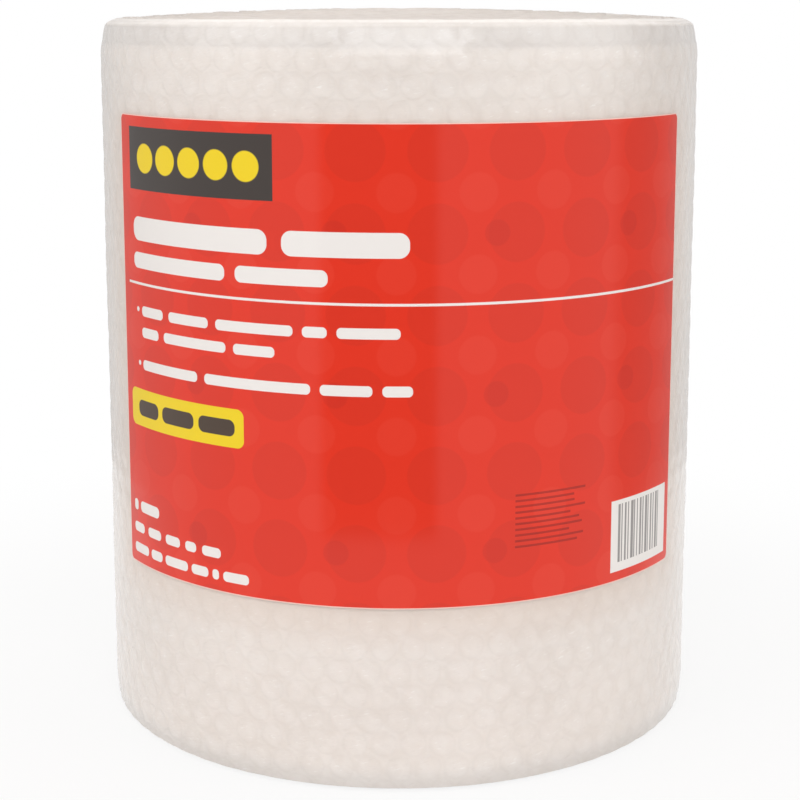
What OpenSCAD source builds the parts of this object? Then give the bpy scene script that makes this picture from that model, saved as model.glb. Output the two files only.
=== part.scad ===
// A roll of bubble wrap standing on its end: one long bubble sheet wound into a coil, with a printed label.
// The origin is at the middle of the foot, +Z runs up the roll's axis, and the label faces -Y.

/* [Sheet] */
// Width of the bubble sheet, which is the height of the roll
sheet_w = 304.8; // [280:0.1:600]
// Thickness of one wound layer, bubbles and films together
sheet_t = 2.5; // [1.5:0.1:6]
// Air between one turn and the next at the ends
turn_gap = 0.35; // [0.2:0.05:1]
// Thickness of each of the sheet's two films at its cut edges
film_t = 0.45; // [0.2:0.05:0.6]

/* [Winding] */
// Turns wound round the eye
turns = 41; // [30:1:60]
// Radius of the open eye in the middle
eye_r = 12.65; // [8:0.05:40]

/* [Ends] */
// Depth to which the turns part from each other at both ends
parting_h = 9; // [3:0.5:20]
// Depth to which the cut bubbles stand open between the films
hollow_h = 4.5; // [1:0.5:8]
// Height of the middle turns above the rim at the top
crown = 3.7; // [0.5:0.1:10]
// Width of the soft shoulder round the top
shoulder_w = 13; // [5:0.5:25]
// Height lost across the shoulder
shoulder_drop = 7.6; // [2:0.1:15]
// Width of the rounded rim round the foot
foot_w = 9; // [5:0.5:25]
// Height that the foot's rim lifts off the floor
foot_lift = 2; // [0.5:0.1:6]

/* [Label] */
// Width of the label, measured round the roll
label_w = 273; // [20:1:380]
// Height of the label
label_h = 187.4; // [20:0.1:210]
// Distance from the label's upper edge up to the soft shoulder
label_gap = 30.8; // [5:0.1:50]
// Thickness of the label
label_t = 0.25; // [0.1:0.05:1]
// Space for the adhesive between the label and the sheet
glue_t = 0.1; // [0.05:0.05:0.3]
// Radius of the label's corners
label_corner_r = 2.5; // [0.5:0.5:10]

/* [Hidden] */
$fn = 96;

pitch = sheet_t + turn_gap;
wound_depth = turns * pitch;
roll_r = eye_r + wound_depth;
// Half a pitch between the two centres that the spiral's arcs turn about
centre_step = pitch / 2;
// Places the front arcs' centre so that the roll's outline, label included, is centred on the origin
axis_y = (glue_t + label_t - centre_step) / 2;
label_angle = label_w / roll_r * 180 / PI;
label_middle = 270;
// Height of the label's lower edge above the floor
label_z = top_z(0) - label_gap - label_h;
// Angle by which cuts in neighbouring arcs stop short of each other
tie_angle = 0.05;
// Distance that a cutter reaches past what it cuts
clear = 1;
// Straight steps in the curves: round a rim, over the crown and round a label's corner
rim_steps = 7;
crown_steps = 5;
corner_steps = 4;

// Height lost by a rounded rim of width w and height h, at a depth below the roll's outer surface
function rim_drop(depth, w, h) = depth >= w ? 0 : h * (1 - sqrt(1 - pow(1 - depth / w, 2)));

// Radius at a depth, as a share of the radius inside the shoulder
function crown_share(depth) = min(1, (roll_r - depth) / (roll_r - shoulder_w));

// Height of the top or the foot at a depth below the roll's outer surface
function top_z(depth) =
    sheet_w - crown * pow(crown_share(depth), 2) - rim_drop(depth, shoulder_w, shoulder_drop);
function foot_z(depth) = rim_drop(depth, foot_w, foot_lift);
function end_z(depth, up) = up > 0 ? top_z(depth) : foot_z(depth);

// Depths at equal angles round a rim of width w, from the roll's outer surface inwards
function rim_depths(w) = [for (i = [0 : rim_steps]) w * (1 - cos(90 * i / rim_steps))];

// A point half as far again beyond b, on the line from a
function past(a, b) = a + 1.5 * (b - a);

// Section through all turns on one side of the axis, with the roll's outer surface at x = 0
module roll_section() {
    crown_run = wound_depth - shoulder_w;
    crown_depths = [for (i = [1 : crown_steps]) shoulder_w + crown_run * i / crown_steps];
    foot_depths = rim_depths(foot_w);
    polygon(concat(
        [for (depth = rim_depths(shoulder_w)) [-depth, top_z(depth)]],
        [for (depth = crown_depths) [-depth, top_z(depth)]],
        [[-wound_depth, 0]],
        [for (i = [rim_steps : -1 : 0]) [-foot_depths[i], foot_z(foot_depths[i])]]
    ));
}

// Section of a slot of depth h, between two depths below the outer surface, at the top (up = 1) or the foot
// (up = -1)
module slot_section(near, far, h, up) {
    floor_z = end_z(near, up) - up * h;
    mouth_z = up > 0 ? sheet_w + clear : -clear;
    polygon([[-far, floor_z], [-near, floor_z], [-near, mouth_z], [-far, mouth_z]]);
}

// One arc of the whole winding, from angle a to angle b, with its outer surface at radius r
module winding_arc(r, a, b) {
    rotate_extrude(angle = b - a, start = a)
        translate([r, 0])
            roll_section();
}

// The slots of that arc at both ends: one between each turn and the next, and one between the two films of
// each turn, where the blade that slit the sheet has opened its bubbles
module slots_arc(r, a, b) {
    rotate_extrude(angle = b - a - 2 * tie_angle, start = a + tie_angle)
        translate([r, 0])
            for (up = [-1, 1]) {
                for (turn = [1 : turns - 1])
                    slot_section(turn * pitch - turn_gap, turn * pitch, parting_h, up);
                for (turn = [0 : turns - 1])
                    slot_section(turn * pitch + film_t, turn * pitch + sheet_t - film_t, hollow_h, up);
            }
}

// The spiral has arcs on two centres: the front half is true to the roll's axis, and the back turns about a
// centre beside it and closes in by one pitch behind the free end, where each turn runs on into the next.
module wound_sheet() {
    color([0.90, 0.87, 0.84])
        translate([0, axis_y, 0])
            difference() {
                union() {
                    winding_arc(roll_r, 180, 360);
                    translate([-centre_step, 0, 0]) {
                        winding_arc(roll_r + centre_step, 0, 90);
                        winding_arc(roll_r - centre_step, 90, 180);
                    }
                }
                slots_arc(roll_r, 180, 360);
                translate([-centre_step, 0, 0])
                    slots_arc(roll_r + centre_step, 0, 90);
                translate([-centre_step, 0, 0])
                    slots_arc(roll_r - centre_step, 90, 180);
            }
}

// What a rounded corner takes off a sheet, with the sheet's own corner at the origin
module corner_waste() {
    steps = 90 / corner_steps;
    arc = [for (i = [0 : corner_steps]) label_corner_r * [1 - sin(steps * i), 1 - cos(steps * i)]];
    inner_points = [for (i = [1 : corner_steps - 1]) arc[i]];
    low = past(arc[1], arc[0]);
    high = past(arc[corner_steps - 1], arc[corner_steps]);
    polygon(concat(
        [[-clear, -clear], [low[0], -clear], low],
        inner_points,
        [high, [-clear, high[1]]]
    ));
}

// The label lies on the front of the outer turn and has four rounded corners
module label() {
    color([0.86, 0.22, 0.15])
        translate([0, axis_y, 0])
            difference() {
                rotate_extrude(angle = label_angle, start = label_middle - label_angle / 2)
                    translate([roll_r + glue_t, label_z])
                        square([label_t, label_h]);
                for (side = [-1, 1], upper = [0, 1])
                    rotate([0, 0, label_middle + side * label_angle / 2])
                        translate([roll_r - clear, 0, label_z + upper * label_h])
                            rotate([90, 0, 90])
                                linear_extrude(label_t + 2 * clear)
                                    mirror([side > 0 ? 1 : 0, 0])
                                        mirror([0, upper])
                                            corner_waste();
            }
}

wound_sheet();
label();
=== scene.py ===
import math

import bpy
import numpy as np
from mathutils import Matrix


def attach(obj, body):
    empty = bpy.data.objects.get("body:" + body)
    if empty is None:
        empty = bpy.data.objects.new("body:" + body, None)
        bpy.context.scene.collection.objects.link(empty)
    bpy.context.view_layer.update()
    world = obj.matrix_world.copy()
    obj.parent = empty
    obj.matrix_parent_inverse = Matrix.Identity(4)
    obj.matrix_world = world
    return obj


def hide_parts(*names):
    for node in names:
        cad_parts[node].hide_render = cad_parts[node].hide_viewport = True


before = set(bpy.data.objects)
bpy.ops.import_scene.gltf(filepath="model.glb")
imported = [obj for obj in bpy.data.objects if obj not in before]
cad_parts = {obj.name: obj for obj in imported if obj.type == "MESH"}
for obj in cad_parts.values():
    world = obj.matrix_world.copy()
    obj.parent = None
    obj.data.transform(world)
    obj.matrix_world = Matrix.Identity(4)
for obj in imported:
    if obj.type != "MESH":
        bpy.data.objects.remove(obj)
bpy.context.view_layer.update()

# The wound body: one long bubble sheet, two clear films with air sealed between them, wound on itself without
# a core. Its outer turn shows the bubbles through the drawn film, its free end is a torn edge down the back,
# and its eye is open. The cut edges at the top and the foot are pieces of their own, below.
pitch = 2.85e-3
turns = 41
eye_r = 12.65e-3
wound_depth = turns * pitch
roll_r = eye_r + wound_depth
centre_step = pitch / 2
label_w, label_h, label_z = 0.273, 0.1874, 0.0753
label_t, glue_t = 0.25e-3, 0.1e-3
axis_y = (label_t + glue_t - centre_step) / 2
sheet_w = 0.3048
crown, shoulder_w, shoulder_drop = 3.7e-3, 13e-3, 7.6e-3
foot_w, foot_lift = 9e-3, 2e-3
bubble_step = 11.4e-3
row_step = bubble_step * math.sqrt(3) / 2
bubble_r = 4.9e-3
# Relief of the film: the domes of the bubbles, its slow waves, and the pull at its torn end
dome_share, bubble_rise, wave_rise = 1.15, 0.34e-3, 0.16e-3
torn_pull, torn_run = 1.6e-3, 5e-3
# Where a turn's edge starts its step down to the next, and how deep in the roll the lean of the edges goes
step_from, lean_depth = 0.84, 0.02


def on_winding(turn, inset):
    """A point of the winding, turn counted inwards from the free end at the back and inset towards the axis.
    Each turn is a quarter circle, a half circle in front and a quarter circle, on two centres half a pitch
    apart, so that the radius loses one pitch a turn."""
    whole = np.floor(turn)
    share = turn - whole
    angle = np.pi / 2 - 2 * np.pi * share
    side = np.where(share < 0.25, 1, np.where(share > 0.75, -1, 0))
    radius = roll_r - whole * pitch + side * centre_step - inset
    return -centre_step * abs(side) + radius * np.cos(angle), axis_y + radius * np.sin(angle)


def run_along(turn):
    """Length of sheet from the free end to a turn: the circles' mean radius times the angle wound."""
    return 2 * np.pi * (roll_r * turn - pitch * turn**2 / 2)


def rim_drop(depth, width, height):
    """Height lost by a rim rounded as a quarter ellipse, at a depth below the outer turn."""
    inside = np.clip(1 - depth / width, 0, 1)
    return height * (1 - np.sqrt(1 - inside**2))


def top_z(depth):
    """Height of the top: the sheet's width less a parabola's crown and the soft shoulder."""
    share = np.minimum(1, (roll_r - depth) / (roll_r - shoulder_w))
    return sheet_w - crown * share**2 - rim_drop(depth, shoulder_w, shoulder_drop)


def foot_z(depth):
    """Height of the foot, which lifts off the floor round its rim."""
    return rim_drop(depth, foot_w, foot_lift)


def edge_depth(turn):
    """Depth of a turn's edge below the outer one: whole turns, with a soft ramp to the next at the back."""
    whole = np.floor(turn)
    ramp = np.clip((turn - whole - step_from) / (1 - step_from), 0, 1)
    return pitch * (whole + ramp**2 * (3 - 2 * ramp))


def end_lean(depth, below, most, reach):
    """How far a turn leans inwards near its edge: a parabola over its reach, strongest on the outer turns."""
    return most * np.clip(1 - below / reach, 0, 1) ** 2 * np.clip(1 - depth / lean_depth, 0, 1)


def bubble_height(run, height):
    """Relief of the bubbles, 1 on a bubble and 0 between: the nearest centre of a lattice of staggered rows,
    then a round dome of the distance from it."""
    row = np.round(height / row_step)
    best = np.full(np.shape(run), 1.0)
    for near in (-1, 0, 1):
        j = row + near
        across = (run / bubble_step - 0.5 * np.mod(j, 2) + 0.5) % 1 - 0.5
        best = np.minimum(best, np.hypot(across * bubble_step, height - j * row_step))
    return np.clip(1 - (best / (dome_share * bubble_r)) ** 2, 0, 1)


def slow_waves(run, height):
    """Loose drawing of the film, from -1 to 1: three long sine waves that slant across one another."""
    return (
        np.sin(run * 61 + 1.3 * np.sin(height * 33)) * 0.4
        + np.sin(height * 47 + 2.1 * np.sin(run * 23 + 1)) * 0.35
        + np.sin(run * 113 - height * 91 + 0.6) * 0.25
    )


def wall_inset(run, height):
    """How far the outer film lies below the roll's true round: least on a bubble, more between, with slow
    waves, and drawn down towards the turn below between the bubbles of the torn free end."""
    relief = bubble_height(run, height)
    torn = torn_pull * np.clip(1 - run / torn_run, 0, 1) ** 2
    return (bubble_rise + torn) * (1 - relief) + wave_rise * (1 + slow_waves(run, height))


def make_piece(name, points, faces, uv, material, node, smooth=35):
    """Fills a mesh from whole arrays: points in metres, faces of four point numbers and a place on the sheet
    for each face's corner. Edges sharper than smooth degrees stay sharp."""
    mesh = bpy.data.meshes.new(name)
    mesh.vertices.add(len(points))
    mesh.vertices.foreach_set("co", points.astype(np.float32).ravel())
    mesh.loops.add(faces.size)
    mesh.loops.foreach_set("vertex_index", faces.astype(np.int32).ravel())
    mesh.polygons.add(len(faces))
    mesh.polygons.foreach_set("loop_start", np.arange(0, faces.size, 4, dtype=np.int32))
    layer = mesh.uv_layers.new(name="sheet")
    layer.uv.foreach_set("vector", uv.astype(np.float32).ravel())
    mesh.update(calc_edges=True)
    mesh.validate()
    mesh.polygons.foreach_set("use_smooth", np.ones(len(mesh.polygons), bool))
    mesh.set_sharp_from_angle(angle=math.radians(smooth))
    mesh.materials.append(material)
    piece = bpy.data.objects.new(name, mesh)
    bpy.context.collection.objects.link(piece)
    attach(piece, "root")
    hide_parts(node)


def grid_faces(rows, columns, close_rows=False, close_columns=False):
    """Point numbers of the quads between rows and columns of points, closed round either way on request."""
    i = np.arange(rows if close_rows else rows - 1)[:, None]
    j = np.arange(columns if close_columns else columns - 1)[None, :]
    i2, j2 = (i + 1) % rows, (j + 1) % columns
    corners = [i * columns + j, i2 * columns + j, i2 * columns + j2, i * columns + j2]
    return np.stack([np.broadcast_to(c, (i.size, j.size)) for c in corners], -1).reshape(-1, 4)


class Tone:
    """A value or colour in a material. Arithmetic with numbers or other tones adds Math nodes."""

    def __init__(self, tree, out=None):
        self.tree, self.out = tree, out

    def node(self, kind, settings={}, inputs={}, out=0):
        """Adds any node: its settings first, then the numbers, colours or links of its inputs."""
        made = self.tree.nodes.new(kind)
        for key, value in settings.items():
            setattr(made, key, value)
        for key, value in inputs.items():
            if isinstance(value, Tone):
                self.tree.links.new(value.out, made.inputs[key])
            else:
                made.inputs[key].default_value = value
        return Tone(self.tree, made.outputs[out])

    def part(self, name):
        """Another output of the same node."""
        return Tone(self.tree, self.out.node.outputs[name])

    def math(self, operation, *others):
        """A Math node's operation on this and any others."""
        return self.node("ShaderNodeMath", {"operation": operation}, dict(enumerate((self, *others))))

    def __add__(self, other):
        return self.math("ADD", other)

    __radd__ = __add__

    def __mul__(self, other):
        return self.math("MULTIPLY", other)

    __rmul__ = __mul__

    def __sub__(self, other):
        return self.math("SUBTRACT", other)

    def __rsub__(self, other):
        return self.node("ShaderNodeMath", {"operation": "SUBTRACT"}, {0: other, 1: self})

    def mix(self, low, high):
        """The colour low where this is 0 and high where it is 1."""
        low, high = [c if isinstance(c, Tone) else (*c, 1) for c in (low, high)]
        return self.node("ShaderNodeMix", {"data_type": "RGBA"}, {0: self, 6: low, 7: high}, 2)

    def ease(self, low, high):
        """0 up to low, 1 from high, and smooth between."""
        ends = {0: self, 1: low, 2: high, 3: 0.0, 4: 1.0}
        return self.node("ShaderNodeMapRange", {"interpolation_type": "SMOOTHSTEP"}, ends)


def new_material(name):
    """An empty material with its Principled shader, and a tone to start its tree from."""
    material = bpy.data.materials.new(name)
    material.use_nodes = True
    tree = material.node_tree
    return material, Tone(tree), tree.nodes["Principled BSDF"]


def finish_shader(shader, fixed, varying):
    """Sets a shader's fixed inputs on its own sockets and links the ones that vary."""
    for name, value in fixed.items():
        shader.inputs[name].default_value = value
    for name, tone in varying.items():
        shader.id_data.links.new(tone.out, shader.inputs[name])


def noise(place, scale, detail):
    """Soft noise from 0 to 1 over a place, by its scale and the octaves of its detail."""
    return place.node("ShaderNodeTexNoise", {}, {"Vector": place, "Scale": scale, "Detail": detail})


def film_material(name, relief, painted_light_scale, gloss):
    """Clear films over many clear layers, milky together: bubbles in staggered rows with faint welded rims,
    patches where layers touch, slanting folds of the drawn film, and on each bubble short painted glints with
    painted shade in their creases. Beside and below the label the milk takes a painted red bounce light. A
    bubble is 1 up to a distance from the nearer of two nets of middles, and falls smoothly to 0."""
    material, start, shader = new_material(name)
    place = start.node("ShaderNodeUVMap", {"uv_map": "sheet"})
    sheet = place.node("ShaderNodeSeparateXYZ", {}, {0: place})
    run, height = sheet.part("X"), sheet.part("Y")
    across = run.math("PINGPONG", bubble_step / 2)
    along = height.math("PINGPONG", row_step)
    near = (across * across + along * along).math("SQRT")
    across2, along2 = bubble_step / 2 - across, row_step - along
    near2 = (across2 * across2 + along2 * along2).math("SQRT")
    uneven = 0.0013
    wobble = noise(place, 110.0, 1.0)
    from_centre = near.math("MINIMUM", near2) + wobble * (2 * uneven) - uneven
    dome = 1 - from_centre.ease(0.3 * bubble_r, 1.05 * bubble_r)
    weld = 1 - (from_centre - bubble_r).math("ABSOLUTE").ease(0.0001, 0.0012)

    def folds(length, width, turned):
        """Noise drawn out to marks of a length and width in metres, turned on the sheet."""
        stretch = {0: place, 2: (0, 0, turned), 3: (length, width, 1.0)}
        drawn = place.node("ShaderNodeMapping", {"vector_type": "TEXTURE"}, stretch)
        return noise(drawn, 1.0, 2.0)

    clouds = noise(place, 22.0, 1.0)
    patches = noise(place, 170.0, 3.0)
    slant = folds(0.016, 0.0042, 0.62)
    creases = folds(0.0034, 0.0011, -0.25)
    # Painted highlight where the crease noise is high, painted shade where it is low
    painted_glint = creases.ease(0.60, 0.74)
    shade = 1 - creases.ease(0.26, 0.40)
    milks = (0.77, 0.705, 0.655), (0.805, 0.74, 0.69), (0.86, 0.805, 0.765)
    # painted_light_scale brightens the milk colours: painted light, set higher on the body's copy than on the
    # cut edges' copy
    dim, plain, pale = [np.array(colour) * painted_light_scale for colour in milks]
    # The welded rims' own grey, the painted crease shade and the painted glint white
    welded, painted_crease_shade, painted_glint_white = (0.60, 0.55, 0.51), (0.62, 0.55, 0.50), (0.95, 0.92, 0.89)
    # The painted red bounce light from the label, how far it reaches, and how far below the label's top it
    # starts
    painted_red_bounce, bounce_reach, bounce_short = (0.68, 0.50, 0.39), 0.022, 0.01
    milk = clouds.ease(0.3, 0.7).mix(dim, plain)
    milk = (patches.ease(0.38, 0.66) * 0.35).mix(milk, pale)
    milk = (slant.ease(0.5, 0.75) * 0.3).mix(milk, pale)
    milk = (dome * 0.18).mix(milk, pale)
    milk = (weld * 0.06).mix(milk, welded)
    # Painted shade in the creases
    milk = (shade * 0.14).mix(milk, painted_crease_shade)
    # Painted highlight: white glints on the bubbles
    milk = (painted_glint * dome * 0.6).mix(milk, painted_glint_white)
    # Painted light: red bounce from the label, painted into the film beside and below it
    front = run_along(0.5)
    bounce_top = label_z + label_h - bounce_short
    beside = ((run - front).math("ABSOLUTE") - label_w / 2).math("MAXIMUM", 0)
    below = (height - (label_z + bounce_top) / 2).math("ABSOLUTE")
    below = (below - (bounce_top - label_z) / 2).math("MAXIMUM", 0)
    warm = 1 - (beside * beside + below * below).math("SQRT").ease(0, bounce_reach)
    milk = (warm * 0.3).mix(milk, painted_red_bounce)
    bump_height = dome * relief + patches * 0.25 + slant * 0.35 + creases * 0.35 - weld * 0.1
    bump = start.node("ShaderNodeBump", {}, {"Height": bump_height, "Distance": 0.0007, "Strength": 0.42})
    rough = 0.30 + patches * 0.2
    finish_shader(
        shader,
        {"Coat Weight": gloss, "Coat Roughness": 0.14, "Coat IOR": 1.45, "IOR": 1.45,
         "Specular IOR Level": 0.3, "Subsurface Weight": 0.2, "Subsurface Scale": 0.006,
         "Subsurface Radius": (1.0, 0.9, 0.8)},
        {"Base Color": milk, "Roughness": rough, "Normal": bump},
    )
    return material


# The body's copy of the film has its milk painted a little lighter than the cut edges' copy
film = film_material("clear_bubble_film", 1.0, 1.025, 0.75)

stations = 500
turn = np.append(np.arange(stations) / stations, 1.0)
wall_rows = 160
lip = 0.3e-3
top_lean, foot_lean = 2.2e-3, 0.8e-3
top_reach, foot_reach = 15e-3, 9e-3
wall_top = top_z(edge_depth(turn) + top_lean)[:, None]
wall_foot = foot_z(foot_lean)
share = np.linspace(0, 1, wall_rows)
wall_z = wall_foot + lip + (wall_top - wall_foot - 2 * lip) * share
run = np.broadcast_to(run_along(turn)[:, None], wall_z.shape)
wall_in = wall_inset(run, wall_z) + end_lean(0, wall_top - wall_z, top_lean, top_reach)
wall_in = wall_in + end_lean(0, wall_z - wall_foot, foot_lean, foot_reach)

# The body goes on inwards under the cut edges, to the eye and back along the foot
inner = np.append([1.4e-3, 3e-3, 5.5e-3, 9e-3], np.linspace(shoulder_w, wound_depth - lip, 6))
edge_below, eye_end = 6.8e-3, 1e-3
flat = np.ones((len(turn), 1))
eye_z = np.linspace(sheet_w - eye_end, eye_end, 10)
eye_in = np.full(eye_z.shape, wound_depth)
body_in = np.hstack(
    [wall_in, wall_in[:, -1:] + lip, flat * inner, flat * eye_in, flat * inner[::-1], wall_in[:, :1] + lip]
)
body_z = np.hstack([
    wall_z, wall_z[:, -1:], flat * (top_z(inner) - edge_below), flat * eye_z,
    flat * (foot_z(inner[::-1]) + edge_below), wall_z[:, :1],
])
# The last station stays on the outer turn, one pitch further in than the first
x, y = on_winding(np.minimum(turn, 0.9999999)[:, None], body_in)
body_points = np.stack([x, y, body_z], -1).reshape(-1, 3)
body_faces = grid_faces(*body_z.shape, close_rows=True, close_columns=True)
body_run = np.broadcast_to(run_along(turn)[:, None], body_z.shape)
body_uv = np.stack([body_run, body_z], -1).reshape(-1, 2)[body_faces]
torn = body_faces[:, 0] // body_z.shape[1] == stations
body_uv[torn, 1:3, 0] = body_uv[torn, 0:1, 0] + pitch
make_piece("wound_body", body_points, body_faces, body_uv, film, "wound_sheet")


# The cut edges of the sheet, at the top and at the foot: the two films of every turn, with the bubbles that
# the slitting blade cut open between them. One closed strip follows the whole winding at each end.
film_t = 0.24e-3
last_turn = turns - 0.002
strip_step = 2.05e-3
strip_h, bend_h = 7.2e-3, 2.4e-3
# The slack between turns, and how far down the films part where they are welded and where a bubble is cut
turn_slack = 0.3e-3
welded_h, opened_h = 0.4e-3, 4.6e-3
# Round the shoulder the outer film covers the bubbles, from none at one depth to nearly all at another
cover_from, cover_to, cover_share = 8e-3, 3e-3, 0.97
# How far the blade left the edge low and ragged, and how far the strip's lower part is tucked into the wall
low_all, low_open, notches = 0.05e-3, 0.3e-3, 3000
tucked = 0.5e-3


def cut_bubble(run, offset):
    """Opening of the cut bubbles along the edge, 1 at a bubble's middle and 0 between: a half ellipse."""
    away = ((run + offset) / bubble_step) % 1 - 0.5
    return np.sqrt(np.clip(1 - (away * bubble_step / bubble_r) ** 2, 0, 1))


def edge_strip(name, end_z, up, offset, most_lean, reach, seed):
    """The strip at one end. Across it, ten points go up the outer film, over it, down into the bubble, up and
    over the inner film and down; along it, the bubbles open and close with the run of the sheet. Round the
    shoulder the outer film lies over the bubbles and closes them."""
    whole_run = run_along(last_turn)
    run = np.linspace(0, whole_run, int(whole_run / strip_step))
    turn = (roll_r - np.sqrt(roll_r**2 - pitch * run / np.pi)) / pitch
    rng = np.random.default_rng(seed)
    depth = edge_depth(turn)
    cover = np.clip((cover_from - depth) / (cover_from - cover_to), 0, 1)
    open_share = cut_bubble(run, offset)
    wander = sum(np.sin(turn * w + p) for w, p in zip((9.1, 14.3, 23.7), rng.uniform(0, 6.28, 3))) / 3
    ragged = np.interp(run, np.linspace(0, whole_run, notches), rng.uniform(0, 1, notches))
    gap = film_t + (open_share + (1 - open_share) * cover) * (pitch - turn_slack - 2 * film_t)
    over = film_t + cover * cover_share * (gap - film_t)
    bottom = welded_h + open_share * (1 - cover) * opened_h
    none = 0 * run
    into = np.stack([none, none, none, over / 2, over, over, gap, gap, gap + film_t, gap + film_t], 1)
    deep, bend = none + strip_h, none + bend_h
    down = np.stack([deep, bend, none, none, none, bottom, bottom, none, none, deep], 1)
    low = ((low_all + low_open * (1 - cover)) * (1 + wander + ragged))[:, None] * (down < strip_h)
    lean = end_lean(depth[:, None], down, most_lean, reach)
    z = end_z(depth[:, None] + into + end_lean(depth[:, None], 0, most_lean, reach)) - up * (down + low)
    outermost = (turn[:, None] < 1) * np.array([1, 1, 1, 0, 0, 0, 0, 0, 0, 0])
    inset = into + lean + outermost * (tucked * (down > 0) + wall_inset(run[:, None], z))
    x, y = on_winding(turn[:, None], inset)
    points = np.stack([x, y, z], -1)
    faces = grid_faces(*z.shape, close_columns=True)
    last = (z.shape[0] - 1) * z.shape[1]
    caps = np.array([[0, 1, 2, 5], [2, 3, 4, 5], [0, 5, 6, 9], [6, 7, 8, 9]])
    faces = np.vstack([faces, caps, caps[:, ::-1] + last])
    # At the foot the strip hangs upside down, which turns its faces over
    if up < 0:
        faces = faces[:, ::-1]
    uv = np.stack([np.broadcast_to(run[:, None], z.shape), z], -1).reshape(-1, 2)[faces]
    make_piece(name, points.reshape(-1, 3), faces, uv, edge_film, "wound_sheet", smooth=50)


# The cut edges' copy of the film has its milk painted a shade darker than the body's: painted shade
edge_film = film_material("cut_film_edge", 0.3, 1.01, 0.3)
edge_strip("top_edge", top_z, 1, 0.0, top_lean, top_reach, 3)
edge_strip("foot_edge", foot_z, -1, 4e-3, foot_lean, foot_reach, 8)


# The label: one sheet of film-coated adhesive stock, printed in red, stuck round the front of the outer turn.
# It carries plain bars, a dark panel, a yellow tag and a white panel on a ground of soft discs in near reds.
corner_r, corner_rows = 2.5e-3, 7


def label_points(columns, rows):
    """Rows of points from the lower edge up, each a closed loop: along the printed face from left to right
    and back along the glued one. Round corners shorten the rows near both edges, by the corner's radius less
    the half chord of its circle at that height."""
    corner = corner_r * (1 - np.cos(np.linspace(0, np.pi / 2, corner_rows)))
    straight = np.linspace(corner_r, label_h - corner_r, rows)
    rise = np.concatenate([corner[:-1], straight, label_h - corner[-2::-1]])
    from_edge = np.minimum(rise, label_h - rise)
    cut = corner_r - np.sqrt(np.maximum(corner_r**2 - np.clip(corner_r - from_edge, 0, None) ** 2, 0))
    across = (label_w / 2 - cut)[:, None] * np.linspace(-1, 1, columns)
    around = np.hstack([across, across[:, ::-1]])
    radius = roll_r + glue_t + np.where(np.arange(2 * columns) < columns, label_t, 0)
    angle = -np.pi / 2 + around / roll_r
    height = np.broadcast_to(rise[:, None], around.shape)
    points = np.stack([radius * np.cos(angle), axis_y + radius * np.sin(angle), label_z + height], -1)
    return points, np.stack([around + label_w / 2, height], -1)


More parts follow.
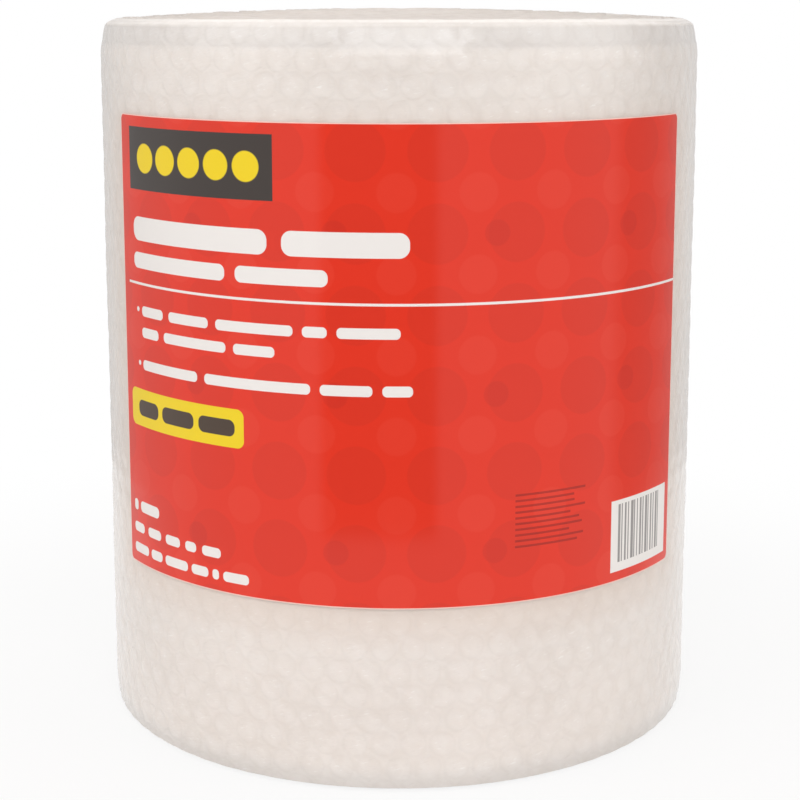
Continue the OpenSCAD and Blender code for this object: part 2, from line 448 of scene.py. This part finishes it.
def label_material():
    """Glossy printed film. Each mark is a box or a disc with a soft edge, in millimetres from the lower left
    corner, mixed over the ones before it."""
    material, start, shader = new_material("printed_label")
    soft_edge, disc_edge, bar_round = 0.3, 0.5, 0.42
    red, dull_red, bright_red = (0.78, 0.036, 0.014), (0.64, 0.034, 0.016), (0.84, 0.075, 0.045)
    deep_red, dark_red, pink = (0.58, 0.028, 0.016), (0.22, 0.012, 0.008), (0.95, 0.70, 0.62)
    white, black, grey = (0.88, 0.84, 0.81), (0.048, 0.037, 0.032), (0.12, 0.11, 0.11)
    yellow, brown = (0.90, 0.66, 0.012), (0.07, 0.045, 0.03)
    place = start.node("ShaderNodeUVMap", {"uv_map": "sheet"})
    across = place.node("ShaderNodeSeparateXYZ", {}, {0: place})
    right, up = across.part("X") * 1000, across.part("Y") * 1000

    def box(left, low, wide, high, corner=0.0, soft=soft_edge):
        """1 inside a box with round corners and 0 outside, by the distance from its core."""
        dx = ((right - (left + wide / 2)).math("ABSOLUTE") - (wide / 2 - corner)).math("MAXIMUM", 0)
        dy = ((up - (low + high / 2)).math("ABSOLUTE") - (high / 2 - corner)).math("MAXIMUM", 0)
        return 1 - (dx * dx + dy * dy).math("SQRT").ease(corner, corner + soft)

    def disc(x, y, r):
        """1 inside a disc and 0 outside, by the distance from its middle."""
        dx, dy = right - x, up - y
        return 1 - (dx * dx + dy * dy).math("SQRT").ease(r - soft_edge, r + soft_edge)

    def marks(made):
        """All the marks of one colour together."""
        whole = made[0]
        for mark in made[1:]:
            whole = whole.math("MAXIMUM", mark)
        return whole

    def discs(step, shift_x, shift_y, r):
        """1 inside the discs of a square net, by the distance from the nearest of its middles."""
        dx = (right + shift_x).math("PINGPONG", step / 2)
        dy = (up + shift_y).math("PINGPONG", step / 2)
        return 1 - (dx * dx + dy * dy).math("SQRT").ease(r - disc_edge, r + disc_edge)

    def bars(left, low, high, gap, lengths):
        """A row of plain bars with round ends, one after another with a gap between them."""
        made = []
        for length in lengths:
            made.append(box(left, low, length, high, min(high, length) * bar_round))
            left += length + gap
        return made

    colour = (discs(31, 4, 9, 11.5) * 0.38).mix(red, dull_red)
    colour = (discs(31, 19.5, 24.5, 7.5) * 0.22).mix(colour, bright_red)
    colour = (discs(62, 12, 40, 5.0) * 0.4).mix(colour, deep_red)

    # The long rule, two small round dots and the white bars
    pale = [box(5.3, 118.9, 267.2, 0.7), disc(12.6, 108.6, 1.0), disc(13, 86.4, 1.0)]
    pale += bars(10.5, 137, 9.4, 6.4, [74.3, 49.2])
    pale += bars(10.3, 125.7, 6.2, 5.2, [55.4, 38.4])
    pale += bars(16, 106.2, 3.9, 4.1, [15, 22, 34, 9.5, 24])
    pale += bars(15.8, 97.4, 3.9, 3.9, [12, 34, 18])
    pale += bars(16, 84, 3.9, 4.1, [35, 47, 20, 11.3])
    pale += bars(5.1, 23, 4.4, 2.7, [3, 14.5])
    pale += bars(4.8, 13.8, 3.8, 3.6, [8.5, 9.5, 9, 6, 9.5])
    pale += bars(4.6, 4.9, 3.8, 2.5, [12, 8, 14, 9, 3, 12])
    colour = marks(pale).mix(colour, white)

    # The dark panel with five discs, the yellow tag with three bars, and the column of fine bars
    colour = box(8.2, 157.6, 79.4, 24.9).mix(colour, black)
    warm = [disc(20.5 + 13.9 * i, 170.2, 5.9) for i in range(5)] + [box(5.3, 60, 68.4, 15.3, 3.0)]
    colour = marks(warm).mix(colour, yellow)
    colour = marks(bars(11.5, 64.4, 6.4, 3, [15, 19, 18])).mix(colour, brown)
    fine = [box(182.5, 22.2 + 2.3 * i, 28 + 4 * math.sin(i * 2.3), 0.6) for i in range(10)]
    colour = (marks(fine) * 0.6).mix(colour, dark_red)

    # The white panel with its strokes, and the pale cut rim of the stock
    colour = box(229.3, 4.3, 39.7, 29.5).mix(colour, white)
    widths = [1.2, 0.5, 0.9, 0.5, 1.5, 0.6, 0.5, 1.1, 0.6, 1.4, 0.5, 0.9, 0.6, 1.3, 0.5]
    strokes = [box(233.5 + 2.05 * i, 8, wide, 24, soft=0.2) for i, wide in enumerate(widths)]
    colour = (marks(strokes) * 0.75).mix(colour, grey)
    rim = 1 - box(0.6, 0.6, 271.8, 186.2, 2.0)
    colour = (rim * 0.9).mix(colour, pink)
    waves = noise(place, 45.0, 1.0)
    bump = start.node("ShaderNodeBump", {}, {"Height": waves, "Distance": 0.0004, "Strength": 0.25})
    finish_shader(
        shader,
        {"Coat Weight": 0.75, "Coat Roughness": 0.09, "Coat IOR": 1.4, "Roughness": 0.5,
         "Specular IOR Level": 0.1},
        {"Base Color": colour, "Normal": bump},
    )
    return material


label_grid, label_uv = label_points(columns=110, rows=24)
rows, loop = label_grid.shape[:2]
half = loop // 2
label_faces = grid_faces(rows, loop, close_columns=True)
pair = np.arange(half - 1)
low_cap = np.stack([pair, pair + 1, loop - 2 - pair, loop - 1 - pair], 1)
label_faces = np.vstack([label_faces[:, ::-1], low_cap[:, ::-1], low_cap + (rows - 1) * loop])
make_piece(
    "label_sheet", label_grid.reshape(-1, 3), label_faces, label_uv.reshape(-1, 2)[label_faces],
    label_material(), "label",
)


# The studio: a pale floor that goes to white away from the roll, soft boxes at the left, the right and in
# front, softer ones above and behind, white surroundings, and the camera in front at the height of the top.
warm_white = (1.0, 0.985, 0.97)
floor_r, floor_sides = 0.47, 96
floor_mesh = bpy.data.meshes.new("floor")
around = np.linspace(0, 2 * np.pi, floor_sides, endpoint=False)
rim = np.stack([floor_r * np.cos(around), floor_r * np.sin(around), 0 * around], 1)
floor_mesh.from_pydata(rim.tolist(), [], [list(range(floor_sides))])
floor = bpy.data.objects.new("floor", floor_mesh)
bpy.context.collection.objects.link(floor)


def seen_rays(start):
    """1 for rays from the camera, off gloss or through clear film, by the greatest of the three marks, and 0
    for rays that only light."""
    ray = start.node("ShaderNodeLightPath", {}, {}, "Is Camera Ray")
    return ray.math("MAXIMUM", ray.part("Is Glossy Ray")).math("MAXIMUM", ray.part("Is Transmission Ray"))


def floor_material():
    """Pale matt floor. To the camera and in reflections it is mostly white, less so close to the roll, where
    it keeps the shadow."""
    glow_near = 0.82
    material, start, shader = new_material("pale_floor")
    place = start.node("ShaderNodeTexCoord", {}, {}, "Object")
    far = place.node("ShaderNodeVectorMath", {"operation": "LENGTH"}, {0: place}, "Value").ease(0.14, 0.45)
    glow = start.node("ShaderNodeEmission", {}, {"Color": (1, 1, 1, 1), "Strength": 1.0})
    matt = {"Base Color": (0.82, 0.815, 0.81, 1), "Roughness": 0.9, "Specular IOR Level": 0.0}
    finish_shader(shader, matt, {})
    base = Tone(start.tree, shader.outputs[0])
    share = seen_rays(start) * (glow_near + far * (1 - glow_near))
    both = start.node("ShaderNodeMixShader", {}, {0: share, 1: base, 2: glow})
    start.tree.links.new(both.out, start.tree.nodes["Material Output"].inputs["Surface"])
    return material


floor_mesh.materials.append(floor_material())


def soft_box(name, place, target, size, watts, colour):
    """An area lamp at a place, turned by the tilt and the bearing of the line from it to its target."""
    data = bpy.data.lights.new(name, "AREA")
    data.shape, data.size, data.size_y = "RECTANGLE", *size
    data.energy, data.color = watts, colour
    lamp = bpy.data.objects.new(name, data)
    ahead = np.array(target, float) - place
    flat_way = math.hypot(ahead[0], ahead[1])
    lamp.location = place
    lamp.rotation_euler = (math.atan2(flat_way, -ahead[2]), 0, math.atan2(-ahead[0], ahead[1]))
    bpy.context.collection.objects.link(lamp)


soft_box("left_box", (-0.95, -0.60, 1.05), (0, 0, 0.3), (1.25, 1.0), 6.6, warm_white)
soft_box("right_box", (1.05, -0.38, 0.75), (0, 0, 0.25), (1.0, 1.0), 3.9, warm_white)
soft_box("front_box", (0.03, -1.08, 0.70), (0, 0, 0.3), (0.9, 0.4), 4.45, (0.97, 0.985, 1.0))
soft_box("top_box", (0, -0.1, 1.35), (0, 0, 0.2), (1.0, 0.7), 1.6, (1.0, 0.99, 0.97))
soft_box("back_box", (0, 0.8, 1.2), (0, 0, 0.15), (1.5, 0.9), 5.2, warm_white)

# White all round for what is seen and for reflections, apart from three dark gaps that reflections show: one
# between the soft boxes, where the camera stands, and one behind each side. A softer fill lights the rest.
# Bearings are in radians, 0 towards the camera and growing to the right.
world = bpy.data.worlds.new("studio")
bpy.context.scene.world = world
world.use_nodes = True
sky = Tone(world.node_tree)
way = sky.node("ShaderNodeTexCoord", {}, {}, "Generated")
way = way.node("ShaderNodeSeparateXYZ", {}, {0: way})
bearing = way.part("X").math("ARCTAN2", 0 - way.part("Y"))
front_gap = bearing.ease(-0.56, -0.46) * (1 - bearing.ease(0.20, 0.29))
right_gap = bearing.ease(1.45, 1.65) * (0.7 - bearing.ease(1.9, 2.5) * 0.4)
left_gap = 0.35 - bearing.ease(-2.1, -1.6) * 0.35
dark = front_gap.math("MAXIMUM", right_gap).math("MAXIMUM", left_gap)
glossy = sky.node("ShaderNodeLightPath", {}, {}, "Is Glossy Ray")
strength = 1 - dark * glossy * 0.9
white = sky.node("ShaderNodeBackground", {}, {"Color": (1, 1, 1, 1), "Strength": strength})
fill = sky.node("ShaderNodeBackground", {}, {"Color": (*warm_white, 1), "Strength": 0.44})
both = sky.node("ShaderNodeMixShader", {}, {0: seen_rays(sky), 1: fill, 2: white})
sky.tree.links.new(both.out, sky.tree.nodes["World Output"].inputs["Surface"])

camera_data = bpy.data.cameras.new("camera")
camera_data.lens, camera_data.sensor_width = 80.0, 36.0
camera_data.shift_x, camera_data.shift_y = 0.001, -0.12
camera = bpy.data.objects.new("camera", camera_data)
camera_back, camera_z, tilted_down = 0.7878, 0.3052, 0.1659
camera.location = (0, axis_y - camera_back, camera_z)
camera.rotation_euler = (math.pi / 2 - tilted_down, 0, 0)
bpy.context.collection.objects.link(camera)
bpy.context.scene.camera = camera
bpy.context.scene.view_settings.view_transform = "Standard"
